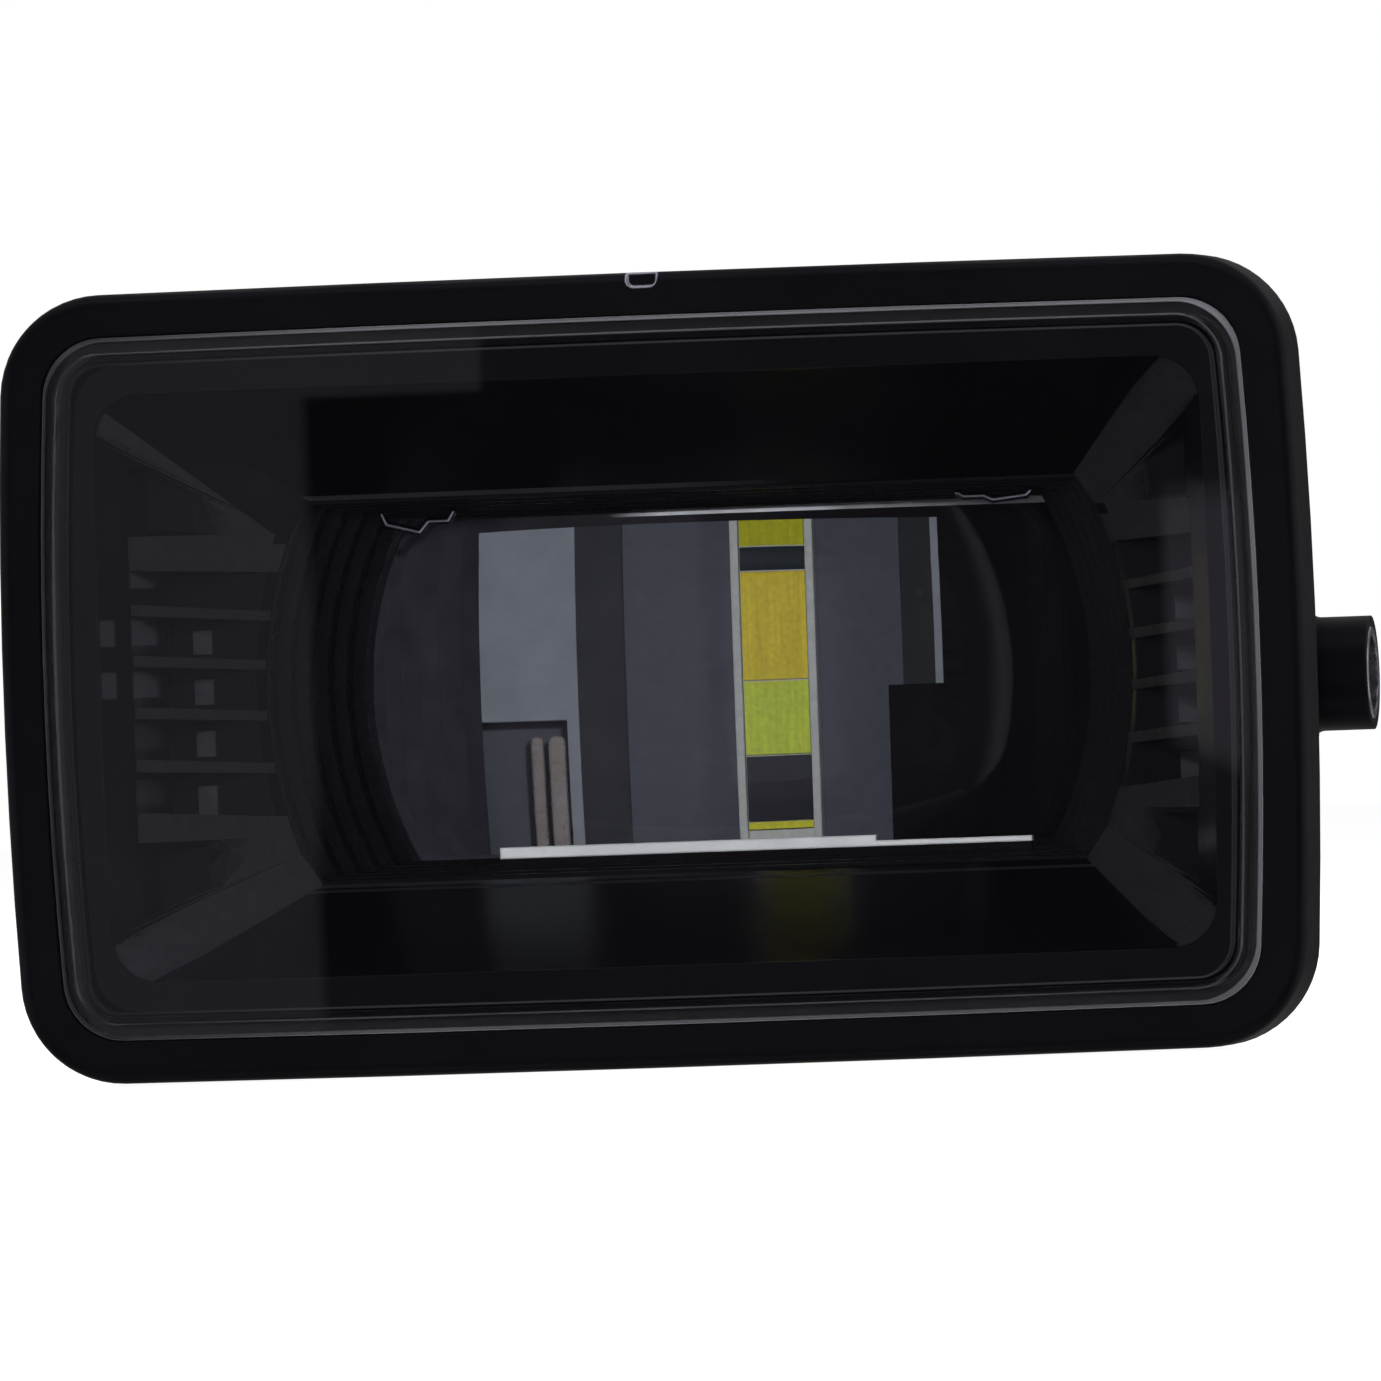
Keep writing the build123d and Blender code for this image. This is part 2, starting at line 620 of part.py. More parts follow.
def heat_sink_screws():
    spots = four(SINK_X, SINK_Z, Z_OPT)
    return [screw(x, z, 56.05, -1, 1.6, 13.0, 3.8, 2.6) for x, z in spots]


# ---- driver electronics -------------------------------------------------------------
def driver_board():
    shape = rounded(26, 24, 1, -44.5, Z_RIM)
    board = slab(shape, 42.0, 43.6)
    for dz in (-9, 9):
        board -= rod(1.1, 40, 45, -34.5, Z_RIM + dz)
    for dz in (-3.2, 3.2):
        board -= slab(Pos(PLUG_X, Z_RIM + dz) * Rectangle(1.2, 3.2), 41, 45)
    return board


def driver_inductor():
    core = slab(rounded(9, 9, 1.5, -44.0, Z_RIM + 6.0), 37.4, 41.95)
    return fillet(core.faces().sort_by(Axis.Y)[0].edges(), 0.5)


def driver_capacitors():
    cans = []
    for dz in (-8.6, -3.2):
        can = rod(2.4, 36.8, 41.95, -43.5, Z_RIM + dz)
        cans.append(fillet(can.faces().sort_by(Axis.Y)[0].edges(), 0.4))
    return cans


def driver_chip():
    return slab(Pos(-53.0, Z_RIM + 8.4) * Rectangle(5, 5), 40.6, 41.95)


def led_link():
    """Flat flexible strip from the driver board to the light-source board."""
    across = (Z_RIM + 1.7, Z_RIM + 6.5)
    strip = block((-33.8, -24.5), (46.9, 47.2), across)
    strip += block((-33.8, -33.5), (43.65, 47.2), across)
    strip += block((-24.8, -24.5), (46.9, 47.95), across)
    return strip


# ---- electrical inlet and vent ------------------------------------------------------
def connector_shell():
    flange = slab(rounded(19, 23, 3, PLUG_X, Z_RIM), 50.9, 53.2)
    body = flange + slab(rounded(13.0, 17.0, 2.8, PLUG_X, Z_RIM), 44.5, 53.2)
    hood = slab(rounded(15.4, 19.4, 4, PLUG_X, Z_RIM), 53.0, 70.0)
    hood -= slab(rounded(12.2, 16.2, 3, PLUG_X, Z_RIM), 56.0, 71.0)
    nose = block((PLUG_X - 3, PLUG_X + 3), (60.0, 68.0), (Z_RIM + 9.4, Z_RIM + 11.2))
    ramp = nose.edges().filter_by(Axis.X).sort_by(Axis.Y)[-2:].sort_by(Axis.Z)[-1]
    nose = chamfer(ramp, 1.5)
    body += hood + nose
    for dz in (-3.2, 3.2):
        slot = Pos(PLUG_X, Z_RIM + dz) * Rectangle(0.9, 2.9)
        body -= slab(slot, 40, 60)
    return body


def connector_pins():
    pins = []
    for dz in (-3.2, 3.2):
        blade = block((PLUG_X - 0.4, PLUG_X + 0.4), (40.4, 65.0), (Z_RIM + dz - 1.4, Z_RIM + dz + 1.4))
        tip = blade.faces().sort_by(Axis.Y)[-1].edges().filter_by(Axis.Z)
        pins.append(chamfer(tip, 0.25))
    return pins


def connector_seal():
    ring = rounded(17.5, 21.5, 2.8, PLUG_X, Z_RIM) - rounded(14.0, 18.0, 3, PLUG_X, Z_RIM)
    return slab(ring, Y_REAR + 0.05, 50.85)


def vent_membrane():
    return rod(4.6, Y_REAR + 4.05, Y_REAR + 4.35, VENT_X, Z_RIM)


def vent_cap():
    cap = rod(7.4, Y_REAR + 0.9, Y_REAR + 7.2, VENT_X, Z_RIM)
    cap = fillet(cap.faces().sort_by(Axis.Y)[-1].edges(), 1.2)
    cap -= rod(6.0, Y_REAR, Y_REAR + 5.4, VENT_X, Z_RIM)
    for turn in range(3):
        spread = Pos(VENT_X, Y_REAR + 0.9, Z_RIM) * Rot(0, 60 * turn, 0)
        cap -= spread * Box(20, 3.0, 2.2)
    for turn in range(3):
        angle = math.radians(60 * turn)
        ledge = Pos(5.55 * math.cos(angle), 5.55 * math.sin(angle)) * Circle(0.55)
        grip = Pos(VENT_X, Z_RIM) * ledge
        cap += slab(grip, Y_REAR + 2.6, Y_REAR + 5.6)
    return cap


# ---- aiming screw and travelling nut ------------------------------------------------
def adjuster_screw():
    shank = rod(ADJ_R, 7.0, 50.0, 0, ADJ_Z)
    shank = chamfer(shank.faces().sort_by(Axis.Y)[0].edges(), 0.6)
    shank -= rod(4.0, 8.6, 9.5, 0, ADJ_Z) - rod(2.3, 8.0, 10.0, 0, ADJ_Z)
    flange = rod(5.2, 49.8, 51.2, 0, ADJ_Z)
    head = slab(Pos(0, ADJ_Z) * RegularPolygon(4.6, 6), 51.0, 56.5)
    head &= rod(4.4, 50.0, 57.0, 0, ADJ_Z)
    key = slab(Pos(0, ADJ_Z) * RegularPolygon(2.1, 6), 53.0, 58.0)
    return shank + flange + head - key


def adjuster_clip():
    ring = rod(4.2, 8.7, 9.4, 0, ADJ_Z) - rod(2.35, 8.0, 10.0, 0, ADJ_Z)
    return ring - block((-1.8, 1.8), (8, 10), (ADJ_Z - 6, ADJ_Z))


def adjuster_nut():
    nut = block((-7.0, 7.0), (ADJ_Y - 6, ADJ_Y + 6), (-39.9, -29.6))
    nut = fillet(nut.edges().filter_by(Axis.X), 1.0)
    nut += cross_rod(2.5, -13.0, 13.0, ADJ_Y, ADJ_Z)
    for side in (-1, 1):
        end = nut.faces().sort_by(Axis.X)[0 if side < 0 else -1]
        nut = chamfer(end.edges(), 0.4)
    return nut - rod(ADJ_R + 0.06, 20, 40, 0, ADJ_Z)


# ---- write the parts ----------------------------------------------------------------
def save(name, shape):
    if isinstance(shape, list):
        shape = Compound(children=[Part(s.wrapped) if not isinstance(s, Part) else s for s in shape])
    export_step(shape, "parts/" + name + ".step")


save("cover_lens", cover_lens())
save("lens_seal", lens_seal())
save("housing", housing())
save("pivot_sleeve_left", pivot_sleeve(-1))
save("pivot_sleeve_right", pivot_sleeve(1))
save("bezel", bezel())
save("lens_holder", lens_holder())
save("projector_lens", projector_lens())
save("lens_trim", lens_trim())
save("lens_clips", lens_clips())
save("light_shield", light_shield())
save("reflector", reflector())
save("carrier_screws", carrier_screws())
save("led_board", led_board())
save("led_package", led_package())
save("led_phosphor", led_phosphor())
save("led_leads", led_leads())
save("board_screws", board_screws())
save("thermal_pad", thermal_pad())
save("heat_sink", heat_sink())
save("heat_sink_gasket", heat_sink_gasket())
save("heat_sink_screws", heat_sink_screws())
save("driver_board", driver_board())
save("driver_inductor", driver_inductor())
save("driver_capacitors", driver_capacitors())
save("driver_chip", driver_chip())
save("led_link", led_link())
save("connector_shell", connector_shell())
save("connector_pins", connector_pins())
save("connector_seal", connector_seal())
save("vent_membrane", vent_membrane())
save("vent_cap", vent_cap())
save("adjuster_screw", adjuster_screw())
save("adjuster_clip", adjuster_clip())
save("adjuster_nut", adjuster_nut())
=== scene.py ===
import json
import math
import bmesh
import bpy
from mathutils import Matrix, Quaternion, Vector


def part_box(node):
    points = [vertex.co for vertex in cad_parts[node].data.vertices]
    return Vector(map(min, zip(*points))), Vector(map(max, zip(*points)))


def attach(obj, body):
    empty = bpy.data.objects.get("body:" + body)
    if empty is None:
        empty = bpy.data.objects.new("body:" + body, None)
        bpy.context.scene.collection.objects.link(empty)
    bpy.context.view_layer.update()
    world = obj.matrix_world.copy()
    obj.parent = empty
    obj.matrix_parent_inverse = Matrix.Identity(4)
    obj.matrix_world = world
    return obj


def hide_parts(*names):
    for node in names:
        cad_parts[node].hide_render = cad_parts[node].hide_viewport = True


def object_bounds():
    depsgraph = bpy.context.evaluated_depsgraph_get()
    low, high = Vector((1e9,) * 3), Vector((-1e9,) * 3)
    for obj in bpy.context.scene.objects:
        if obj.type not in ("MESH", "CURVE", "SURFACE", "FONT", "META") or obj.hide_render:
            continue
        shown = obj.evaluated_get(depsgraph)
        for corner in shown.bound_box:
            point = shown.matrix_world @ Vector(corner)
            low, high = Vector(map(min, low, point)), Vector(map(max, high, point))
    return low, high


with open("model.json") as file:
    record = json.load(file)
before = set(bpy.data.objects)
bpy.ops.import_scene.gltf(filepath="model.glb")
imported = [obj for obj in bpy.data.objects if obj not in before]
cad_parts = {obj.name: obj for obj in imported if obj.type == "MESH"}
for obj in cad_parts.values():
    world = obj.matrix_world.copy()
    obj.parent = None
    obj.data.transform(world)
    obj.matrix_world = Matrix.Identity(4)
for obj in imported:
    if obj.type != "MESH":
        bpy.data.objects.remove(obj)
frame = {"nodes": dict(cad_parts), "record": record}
cad_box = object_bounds()
nodes = frame["nodes"]
scene = bpy.context.scene
scene.view_settings.view_transform = "Standard"

# the part's own dimensions, in metres, with the origin on the pivot axis
MM = 0.001
Z_RIM = 3.1 * MM          # centre of the front face
Z_OPT = 1.9 * MM          # optical axis
Y_SEAT = 27.2 * MM        # where the projector lens dome meets its flange
LENS_R = 41.0 * MM        # the dome before its top and bottom are cut off
LENS_HALF = 19.0 * MM     # half its cut height
DOME_R = 60.0 * MM        # radius of the dome's sphere
FLANGE = (43.4 * MM, 20.9 * MM)    # the lens flange's radius and half height
FLANGE_FRONT, FLANGE_BACK = 0.15 * MM, 3.15 * MM    # behind the seat
TOP_GLINT_DEPTH = 0.42 * MM   # depth of the painted glint along the lens's top edge
TOP_GLINT_X = (-12.0 * MM, -6.0 * MM)    # it fades in from here to here
PANE_CORNER = 6.7 * MM    # corner radius of the cover lens
BOW = (1.5 * MM, 0.3 * MM)         # how far its sides bow outward, in X and Z
PANE_FRONT = 3.0 * MM     # its outer edge's painted highlight reaches this far back from its face
EDGE_HIGHLIGHT = 0.52 * MM     # width of the painted highlight line along its outer edge
INNER_HIGHLIGHTS = ((1.85 * MM, 0.22), (3.0 * MM, 0.10))   # fainter painted highlight lines: how far in, how strong
Y_WALLS = -33.4 * MM      # the bezel's walls lie behind this
Y_RECESS = -3.0 * MM      # floor of the louvre recess
FIN_ENDS = 59.6 * MM      # outer wall of the louvre recess, on either side
FIN_ZONE = 17.1 * MM      # half the height that the fins take up
FIN_MIDDLE = -0.15 * MM   # its middle, from Z_RIM
GAP_HEIGHTS = (12.6, 6.2, 0.4, -5.4, -11.6)    # in mm from Z_RIM, middles of the gaps between fins
FIN_ROOTS = [             # in mm, each fin's middle from Z_RIM and its thickness at the floor
    (14.1, 3.1), (7.7, 1.1), (2.2, 1.1), (-3.5, 1.1), (-9.4, 1.2), (-16.4, 3.1)]
LIT_SQUARE_HALF = 1.6 * MM    # half the height of a painted light square between two fins
FACET_LINE = (60.7 * MM, 33.9 * MM, 1.034)    # |x|, z and slope of the upper left facet's split
PADS = (Y_RECESS, -4.2 * MM, 8.5 * MM)        # back, front and top of the small satin pads
Y_LIP = -2.6 * MM         # the funnel's lip begins here
GATE_X = 0.6 * MM         # middle of the trimmed gate in the rim's top edge
GATE = (2.0 * MM, 2.5 * MM)        # half the width and the height of its painted glint
Y_GATE = -35.0 * MM       # the painted glint ends here, towards the back


# ---- node graph helper --------------------------------------------------------------
class Graph:
    """A material's node tree with short calls for the nodes that this scene uses."""

    def __init__(self, name, world=None):
        self.mat = world or bpy.data.materials.new(name)
        self.mat.use_nodes = True
        self.tree = self.mat.node_tree
        self.tree.nodes.clear()
        output = "ShaderNodeOutputWorld" if world else "ShaderNodeOutputMaterial"
        self.out = self.tree.nodes.new(output)
        coords = self.tree.nodes.new("ShaderNodeTexCoord")
        self.place = coords.outputs["Object"]
        self.geometry = self.tree.nodes.new("ShaderNodeNewGeometry")

    def put(self, socket, value):
        if isinstance(value, bpy.types.NodeSocket):
            self.tree.links.new(value, socket)
        elif value is not None:
            if socket.type == "RGBA" and len(value) == 3:
                value = (*value, 1.0)
            socket.default_value = value

    def node(self, kind, inputs=None, **settings):
        made = self.tree.nodes.new("ShaderNode" + kind)
        for key, value in settings.items():
            setattr(made, key, value)
        for key, value in (inputs or {}).items():
            self.put(made.inputs[key], value)
        return made

    def math(self, operation, a, b=None, clamp=False):
        made = self.tree.nodes.new("ShaderNodeMath")
        made.operation = operation
        made.use_clamp = clamp
        for i, value in enumerate((a, b)):
            self.put(made.inputs[i], value)
        return made.outputs[0]

    def times(self, first, *others):
        """The product of two or more values, such as masks that all have to hold."""
        for other in others:
            first = self.math("MULTIPLY", first, other)
        return first

    def plus(self, a, b):
        return self.math("ADD", a, b)

    def minus(self, a, b):
        return self.math("SUBTRACT", a, b)

    def largest(self, first, *others):
        for other in others:
            first = self.math("MAXIMUM", first, other)
        return first

    def absolute(self, value):
        return self.math("ABSOLUTE", value)

    def near(self, value, middle, outer, inner):
        """1 within inner of the middle, falling to 0 at outer."""
        return self.span(self.absolute(self.minus(value, middle)), outer, inner)

    def stretch(self, scale):
        return self.node("Mapping", {"Vector": self.place, "Scale": scale}).outputs[0]

    def noise(self, scale, detail=3.0, roughness=0.55, place=None):
        made = self.node("TexNoise", {
            "Vector": place or self.place, "Scale": scale,
            "Detail": detail, "Roughness": roughness})
        return made.outputs["Fac"]

    def cells(self, scale):
        return self.node("TexVoronoi", {"Vector": self.place, "Scale": scale}).outputs["Distance"]

    def span(self, value, low, high, to_low=0.0, to_high=1.0):
        """value from low..high to to_low..to_high, held at the ends."""
        made = self.node("MapRange", {
            "Value": value, "From Min": low, "From Max": high,
            "To Min": to_low, "To Max": to_high}, clamp=True)
        return made.outputs[0]

    def blend(self, share, a, b):
        made = self.tree.nodes.new("ShaderNodeMix")
        made.data_type = "RGBA"
        self.put(made.inputs["Factor"], share)
        self.put(made.inputs[6], a)
        self.put(made.inputs[7], b)
        return made.outputs[2]

    def axes(self, vector):
        return self.node("SeparateXYZ", {0: vector}).outputs

    def bevel(self, radius):
        made = self.node("Bevel", {"Radius": radius})
        made.samples = 4
        return made.outputs[0]

    def edge(self, rounded):
        """0 on open surfaces, up to 1 along edges."""
        dot = self.node("VectorMath", {0: rounded, 1: self.geometry.outputs["Normal"]},
                        operation="DOT_PRODUCT").outputs["Value"]
        return self.span(dot, 0.995, 0.75)

    def bump(self, height, depth, normal=None):
        made = self.node("Bump", {"Height": height, "Distance": depth, "Strength": 1.0})
        if normal is not None:
            self.put(made.inputs["Normal"], normal)
        return made.outputs[0]

    def surface(self, shader):
        self.tree.links.new(shader, self.out.inputs["Surface"])
        return self.mat

    def principled(self, **values):
        names = {
            "color": "Base Color", "rough": "Roughness", "metal": "Metallic",
            "normal": "Normal", "ior": "IOR", "specular": "Specular IOR Level",
            "transmission": "Transmission Weight", "emission": "Emission Color",
            "glow": "Emission Strength"}
        made = self.tree.nodes.new("ShaderNodeBsdfPrincipled")
        for key, value in values.items():
            self.put(made.inputs[names[key]], value)
        return made.outputs[0]


# ---- materials ----------------------------------------------------------------------
def satin_plastic(name, dark, light, rough=(0.36, 0.52), grain=2600.0, depth=2.2e-5,
                  edge_radius=0.4 * MM, edge_tint=0.35, specular=0.5, gate_top=None):
    """Moulded plastic with a fine spark-eroded grain, flow mottling and lighter edges, partly wear and partly
    painted highlight.

    Where a gate was trimmed, below the height gate_top, a pale painted glint lies along the front edge.
    """
    g = Graph(name)
    rounded = g.bevel(edge_radius)
    edge = g.edge(rounded)
    flow = g.noise(38.0, 4.0, 0.6)
    grain_height = g.noise(grain, 2.0, 0.6)
    pits = g.span(g.cells(grain * 0.55), 0.0, 0.35)
    colour = g.blend(g.span(flow, 0.3, 0.7), dark, light)
    # lighter along the edges: partly rubbed wear, partly painted highlight lines along edges and steps
    edge_wear_and_highlight = g.times(edge, g.span(g.noise(420.0, 3.0), 0.4, 0.75))
    wear_and_highlight_colour = tuple(0.6 * c + edge_tint * 0.1 for c in light)
    colour = g.blend(g.times(edge_wear_and_highlight, 0.5), colour, wear_and_highlight_colour)
    if gate_top:
        # painted glint: pale along the front edge at the trimmed gate
        x, y, z = g.axes(g.place)[:3]
        foot = gate_top - GATE[1]
        across = g.near(x, GATE_X, GATE[0], GATE[0] - 0.2 * MM)
        gate_glint = g.times(across, g.span(z, foot, foot + 0.3 * MM), g.span(edge, 0.25, 0.5),
                       g.span(y, Y_GATE, Y_GATE - 0.3 * MM))
        colour = g.blend(gate_glint, colour, (0.62, 0.58, 0.70))
    roughness = g.span(g.noise(130.0, 5.0, 0.65), 0.3, 0.72, rough[0], rough[1])
    height = g.plus(g.times(grain_height, 0.7), g.times(pits, 0.3))
    normal = g.bump(height, depth, rounded)
    return g.surface(g.principled(color=colour, rough=roughness, normal=normal, specular=specular))


def fin_mask(g, wall, rise, ax, tilt, y):
    """Where the walls lie level with the fins, and where the fins themselves are etched.

    Past the recess floor only the fins' own roots are etched.
    """
    middle = g.near(rise, FIN_MIDDLE, FIN_ZONE, FIN_ZONE - 0.1 * MM)
    fins = g.times(wall, middle, g.span(ax, FIN_ENDS, FIN_ENDS - 0.2 * MM), g.span(tilt, 0.75, 0.6))
    roots = g.span(y, Y_RECESS - 0.1 * MM, Y_RECESS - 0.3 * MM)
    for height, thick in FIN_ROOTS:
        half = thick * MM / 2
        roots = g.largest(roots, g.near(rise, height * MM, half + 0.1 * MM, half - 0.1 * MM))
    return middle, g.times(fins, roots)


def painted_light_squares(g, wall, rise, steep, ax, x, y):
    """Painted light: small light squares on the recess's outer wall, and two fainter ones outside it on the
    left.
    """
    gaps = 0.0
    for height in GAP_HEIGHTS:
        gaps = g.largest(gaps, g.near(rise, height * MM, LIT_SQUARE_HALF, LIT_SQUARE_HALF - 0.3 * MM))
    outer = g.span(ax, FIN_ENDS - 0.4 * MM, FIN_ENDS - 0.2 * MM)
    depth = g.times(g.span(y, -28 * MM, -26 * MM), g.span(y, -8 * MM, -12 * MM))
    painted_squares = g.times(g.span(steep, 0.95, 0.98), outer, depth, gaps, g.span(rise, -4 * MM, -1 * MM, 0.4, 1.0))
    # painted glints beside the recess, on the left
    painted_glints_beside = g.times(wall, g.span(ax, 60.8 * MM, 61.0 * MM), g.span(x, 0.0, -1 * MM))
    rows = g.times(g.span(rise, -4 * MM, -3 * MM), g.span(rise, 9 * MM, 8 * MM, 0.0, 0.6))
    return g.largest(painted_squares, g.times(painted_glints_beside, rows, gaps, 0.4))


def bezel_plastic():
    """One moulding: polished walls, and etched satin on the fins, facets, pads and outer lips; painted light
    on the funnel's lip and in small squares between the fins.
    """
    g = Graph("bezel_plastic")
    rounded = g.bevel(0.3 * MM)
    edge = g.edge(rounded)
    x, y, z = g.axes(g.place)[:3]
    nx, _, nz = g.axes(g.geometry.outputs["True Normal"])[:3]
    ax, steep, tilt = (g.absolute(v) for v in (x, nx, nz))
    rise = g.minus(z, Z_RIM)
    wall = g.times(g.span(steep, 0.12, 0.2), g.span(y, Y_WALLS - 0.1 * MM, Y_WALLS + 0.3 * MM))
    middle, fins = fin_mask(g, wall, rise, ax, tilt, y)
    painted_squares = painted_light_squares(g, wall, rise, steep, ax, x, y)
    rear, front, top = PADS
    pads = g.times(g.span(y, rear, rear - 0.4 * MM), g.span(y, front, front + 0.3 * MM),
                   g.span(rise, top, top - 1.5 * MM))
    # corner facets; above a slanting line on the upper left they are polished
    at_x, at_z, slant = FACET_LINE
    line = g.plus(at_z, g.times(g.minus(ax, at_x), slant))
    polished = g.times(g.span(g.minus(z, line), -0.1 * MM, 0.1 * MM), g.span(x, 0.0, -1 * MM))
    facets = g.times(wall, g.span(tilt, 0.12, 0.2), g.minus(1.0, middle), g.minus(1.0, polished))
    strip = g.times(wall, 0.10, g.span(ax, FIN_ENDS, FIN_ENDS + 0.4 * MM))
    satin = g.math("MAXIMUM", g.largest(fins, pads, facets), strip, clamp=True)
    # painted light: the funnel's last two millimetres, above and below the lens, lighter towards the left and
    # most where the wall faces down
    lip_painted_light = g.times(g.span(y, Y_LIP, Y_LIP + 0.2 * MM), g.span(tilt, 0.6, 0.7), g.span(x, 12 * MM, -4 * MM),
                  g.span(nz, -0.2, 0.2, 1.6, 0.55))
    flow = g.span(g.noise(45.0, 4.0, 0.6), 0.3, 0.7)
    gloss_colour = g.blend(flow, (0.0022, 0.0020, 0.0028), (0.0036, 0.0033, 0.0044))
    mottle = g.span(g.noise(700.0, 4.0), 0.3, 0.7)
    satin_colour = g.blend(mottle, (0.0240, 0.0232, 0.0275), (0.0350, 0.0340, 0.0395))
    colour = g.blend(satin, gloss_colour, satin_colour)
    colour = g.blend(g.math("MULTIPLY", lip_painted_light, 0.7, clamp=True), colour, (0.085, 0.083, 0.095))
    # painted light squares between the fins
    colour = g.blend(painted_squares, colour, (0.17, 0.165, 0.19))
    colour = g.blend(g.times(edge, 0.25), colour, (0.030, 0.030, 0.034))
    gloss_rough = g.span(g.noise(160.0, 5.0, 0.7), 0.35, 0.75, 0.15, 0.24)
    satin_rough = g.span(g.noise(240.0, 5.0, 0.7), 0.3, 0.75, 0.36, 0.50)
    rough_mix = g.node("Mix", {0: satin, 2: gloss_rough, 3: satin_rough}).outputs[0]
    etch = g.noise(5200.0, 2.0, 0.6)
    peel = g.times(g.noise(240.0, 2.0), 0.55)
    height = g.node("Mix", {0: satin, 2: peel, 3: etch}).outputs[0]
    normal = g.bump(height, 1.1e-5, rounded)
    return g.surface(g.principled(color=colour, rough=rough_mix, normal=normal, specular=0.2))


def edge_depth(g, low, high):
    """Distance in from the cover lens's outline, a bowed rectangle with rounded corners."""
    x, _, z = g.axes(g.place)[:3]
    half_x, half_z = (high.x - low.x) / 2, (high.z - low.z) / 2
    rise = g.minus(z, Z_RIM)
    bow_x = g.times(g.math("POWER", g.math("DIVIDE", rise, half_z), 2.0), BOW[0])
    bow_z = g.times(g.math("POWER", g.math("DIVIDE", x, half_x), 2.0), BOW[1])
    across = g.minus(g.plus(g.absolute(x), bow_x), half_x - PANE_CORNER)
    level = g.minus(g.plus(g.absolute(rise), bow_z), half_z - PANE_CORNER)
    outside = g.node("CombineXYZ", {0: g.largest(across, 0.0), 1: g.largest(level, 0.0)}).outputs[0]
    corner = g.node("VectorMath", {0: outside}, operation="LENGTH").outputs["Value"]
    inner = g.math("MINIMUM", g.largest(across, level), 0.0)
    return g.minus(PANE_CORNER, g.plus(corner, inner))


def clear_cover():
    """Hard-coated clear sheet: see-through, mirror-like at grazing angles, and with painted
    highlight lines along its moulded edge and the inner edge of its bevel."""
    g = Graph("clear_cover")
    haze = g.span(g.noise(75.0, 6.0, 0.72), 0.45, 0.85)
    specks = g.span(g.cells(900.0), 0.04, 0.02)
    strokes = g.noise(1.0, 4.0, 0.7, g.stretch((60.0, 600.0, 1500.0)))
    rough = g.plus(0.004, g.times(g.span(strokes, 0.62, 0.72), 0.02))
    normal = g.bump(g.noise(24.0, 1.0), 1.5e-6)
    # the node turns its index over on a back face; a thin sheet mirrors alike from either side
    index = g.node("Mix", {0: g.geometry.outputs["Backfacing"], 2: 1.5, 3: 1 / 1.5}).outputs[0]
    fresnel = g.node("Fresnel", {"IOR": index, "Normal": normal}).outputs[0]
    clear = g.node("BsdfTransparent", {"Color": (0.975, 0.98, 0.985)}).outputs[0]
    mirror = g.node("BsdfGlossy", {"Color": (1, 1, 1), "Roughness": rough, "Normal": normal}).outputs[0]
    scatter = g.node("BsdfDiffuse", {"Color": (0.45, 0.46, 0.50)}).outputs[0]
    low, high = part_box("cover_lens")
    depth = edge_depth(g, low, high)
    x, y, _ = g.axes(g.place)[:3]
    # painted highlight: pale lines along the outer edge and inside the bevel, added to the dust film
    line = g.span(depth, EDGE_HIGHLIGHT, EDGE_HIGHLIGHT - 0.16 * MM)
    for at, weight in INNER_HIGHLIGHTS:
        line = g.largest(line, g.times(g.near(depth, at, 0.16 * MM, 0.08 * MM), weight))
    uneven = g.times(g.span(g.noise(30.0, 2.0), 0.3, 0.7, 0.7, 1.0), g.span(x, -60 * MM, -30 * MM, 0.25, 1.0))
    front = g.span(y, low.y + PANE_FRONT, low.y + PANE_FRONT - 0.3 * MM)
    dust_and_highlight = g.plus(g.times(haze, 0.0012), g.times(specks, 0.012))
    dust_and_highlight = g.plus(dust_and_highlight, g.times(line, 0.5, uneven, front))
    base = g.node("MixShader", {0: dust_and_highlight, 1: clear, 2: scatter}).outputs[0]
    return g.surface(g.node("MixShader", {0: fresnel, 1: base, 2: mirror}).outputs[0])


def lens_glass():
    """Moulded optical-grade clear plastic; lamps reach what lies behind it."""
    g = Graph("lens_glass")
    tint = g.blend(g.span(g.noise(30.0, 3.0), 0.3, 0.7), (0.955, 0.965, 0.968), (0.975, 0.98, 0.98))
    normal = g.bump(g.noise(55.0, 2.0), 8.0e-6)
    glass = g.principled(color=tint, rough=0.0, normal=normal, ior=1.49, transmission=1.0)
    # a painted glint: a pale matt line along the top cut edge
    x, _, z = g.axes(g.place)[:3]
    top = Z_OPT + LENS_HALF
    line = top - TOP_GLINT_DEPTH
    glint = g.times(g.span(z, line, line + 0.06 * MM), g.span(x, *TOP_GLINT_X),
                     g.span(g.noise(90.0, 3.0), 0.25, 0.55, 0.5, 1.0))
    glint_shader = g.principled(color=(0.62, 0.63, 0.66), rough=0.6)
    glass = g.node("MixShader", {0: glint, 1: glass, 2: glint_shader}).outputs[0]
    light = g.node("LightPath").outputs["Is Shadow Ray"]
    clear = g.node("BsdfTransparent", {"Color": (0.99, 0.995, 0.995)}).outputs[0]
    return g.surface(g.node("MixShader", {0: light, 1: glass, 2: clear}).outputs[0])


def metal(name, dark, light, rough, scale, depth):
    """Bare or plated metal with mottled roughness and edges rubbed bright."""
    g = Graph(name)
    rounded = g.bevel(0.3 * MM)
    grain = g.noise(scale, 4.0, 0.65)
    colour = g.blend(g.span(g.noise(scale * 0.4, 4.0), 0.3, 0.7), dark, light)
    bright = tuple(min(1.0, c * 1.15) for c in light)
    colour = g.blend(g.times(g.edge(rounded), 0.5), colour, bright)
    roughness = g.span(grain, 0.3, 0.7, rough[0], rough[1])
    normal = g.bump(grain, depth, rounded)
    return g.surface(g.principled(color=colour, rough=roughness, metal=1.0, normal=normal))


